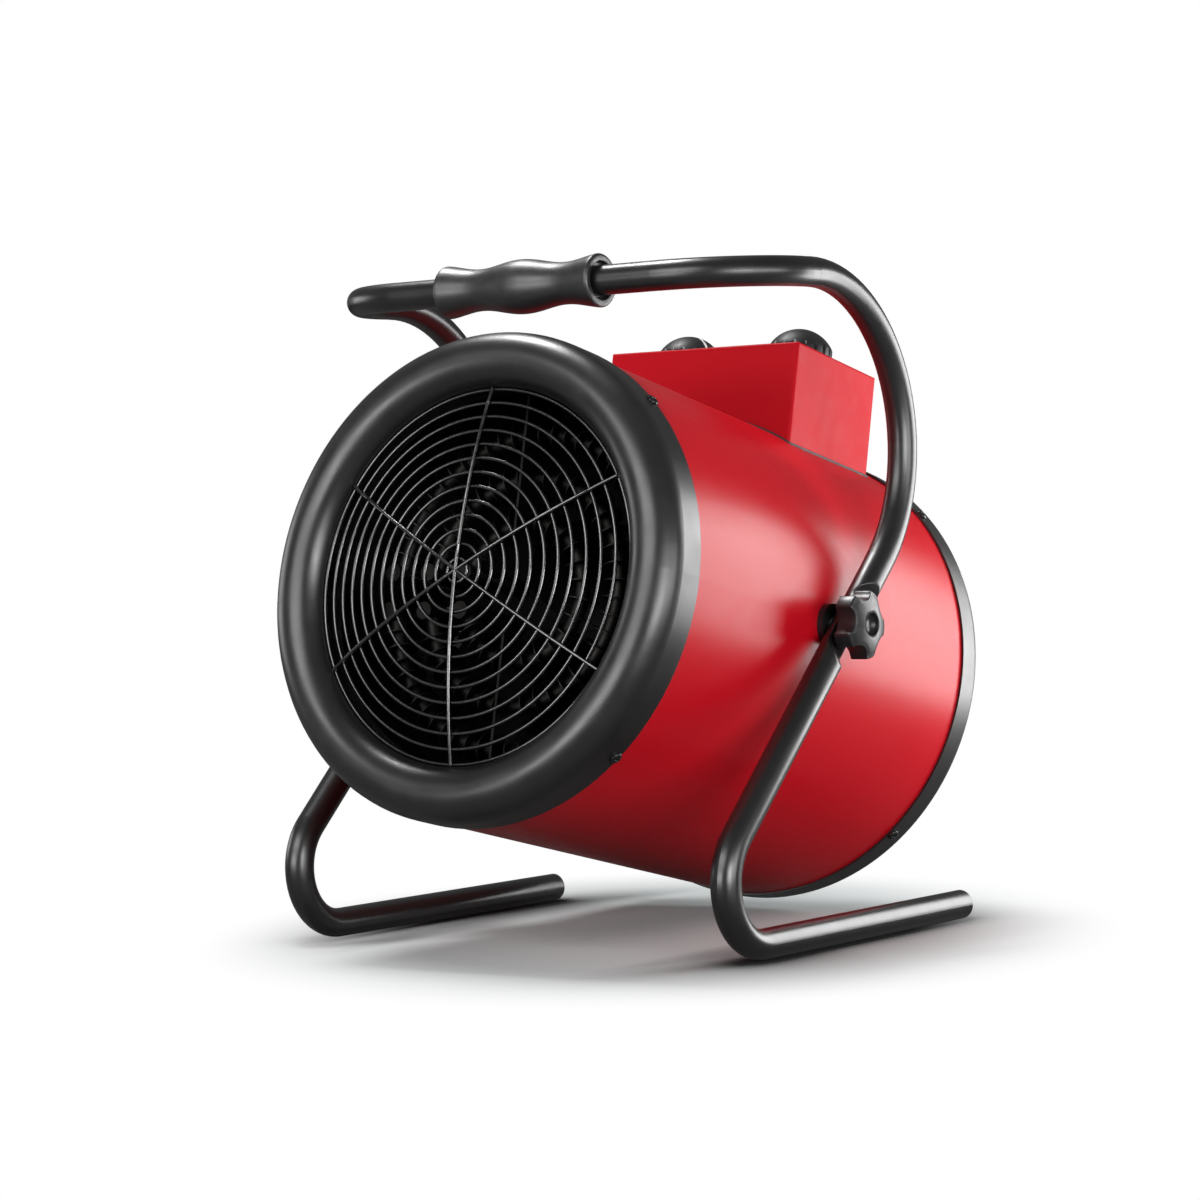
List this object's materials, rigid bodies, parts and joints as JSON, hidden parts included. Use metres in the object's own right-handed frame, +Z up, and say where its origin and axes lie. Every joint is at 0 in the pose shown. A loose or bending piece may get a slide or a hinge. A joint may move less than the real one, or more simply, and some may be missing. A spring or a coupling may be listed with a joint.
{
  "type": "electric space heater",
  "caption": "Portable drum-shaped electric fan heater that tilts on a bent-tube stand with a carrying grip, clamp knobs, a wire grille, finned heating rings and a control box.",
  "frame": {"origin": "on the floor under the middle of the bounding box", "axes": "the grille faces -Y, +X is to the right seen from the front, +Z is up"},
  "size_m": [0.3162, 0.364, 0.3686],
  "materials": {
    "stand_black": "satin powder coat with a fine grain",
    "casing_red": "glossy red enamel",
    "grip_rubber": "smooth matt rubber",
    "wire_steel": "drawn wire, plated",
    "guard_black": "black coated wire",
    "zinc_steel": "zinc plated",
    "shield_steel": "rolled sheet, heat darkened",
    "screw_black": "blackened screw heads",
    "element_steel": "dark finned steel",
    "knob_plastic": "moulded, fine texture",
    "fan_metal": "pressed sheet",
    "motor_metal": "grey enamel",
    "cream_plastic": "heat resistant moulding"
  },
  "bodies": {
    "stand": {"stand_frame": "stand_black", "handle_grip": "grip_rubber", "foot_caps": "grip_rubber"},
    "heater": {"drum_casing": "casing_red", "front_bezel": "stand_black", "front_grille": "wire_steel", "grille_clips": "zinc_steel", "bezel_screws": "screw_black", "rear_trim": "stand_black", "rear_guard": "guard_black", "rear_screws": "screw_black", "heat_shield": "shield_steel", "shield_brackets": "zinc_steel", "heating_elements": "element_steel", "element_fins": "element_steel", "element_brackets": "zinc_steel", "overheat_cutout": "knob_plastic", "fan_motor": "motor_metal", "motor_bracket": "zinc_steel", "motor_screws": "zinc_steel", "control_box": "casing_red", "box_gasket": "grip_rubber", "box_bracket": "zinc_steel", "box_screws": "zinc_steel", "thermostat_body": "cream_plastic", "rotary_switch": "knob_plastic", "control_nuts": "zinc_steel", "terminal_block": "cream_plastic", "cable_gland": "knob_plastic", "gland_nut": "knob_plastic", "pivot_spacers": "knob_plastic", "pivot_nuts": "zinc_steel"},
    "fan": {"fan_blades": "fan_metal", "motor_shaft": "zinc_steel", "fan_nut": "zinc_steel"},
    "knob_left": {"star_knob_left": "knob_plastic", "clamp_stud_left": "zinc_steel"},
    "knob_right": {"star_knob_right": "knob_plastic", "clamp_stud_right": "zinc_steel"},
    "thermostat_dial": {"thermostat_knob": "knob_plastic", "thermostat_shaft": "zinc_steel"},
    "switch_dial": {"switch_knob": "knob_plastic", "switch_shaft": "zinc_steel"}
  },
  "joints": [
    {"name": "tilt", "type": "hinge", "parent": "stand", "child": "heater", "pos_m": [0, -0.00314, 0.16851], "axis": [1, 0, 0], "range_deg": [-1, 27]},
    {"name": "fan_spin", "type": "hinge", "parent": "heater", "child": "fan", "pos_m": [0, -0.00314, 0.16851], "axis": [0, 0.9744, -0.225], "continuous": true},
    {"name": "knob_right_turn", "type": "hinge", "parent": "heater", "child": "knob_right", "pos_m": [0, -0.00314, 0.16851], "axis": [1, 0, 0], "range_deg": [0, 360]},
    {"name": "knob_left_turn", "type": "hinge", "parent": "heater", "child": "knob_left", "pos_m": [0, -0.00314, 0.16851], "axis": [-1, 0, 0], "range_deg": [0, 360]},
    {"name": "thermostat_turn", "type": "hinge", "parent": "heater", "child": "thermostat_dial", "pos_m": [0.0385, 0.11964, 0.31669], "axis": [0, 0.225, 0.9744], "range_deg": [-270, 0]},
    {"name": "switch_turn", "type": "hinge", "parent": "heater", "child": "switch_dial", "pos_m": [-0.0385, 0.11964, 0.31669], "axis": [0, 0.225, 0.9744], "range_deg": [-135, 0]}
  ]
}
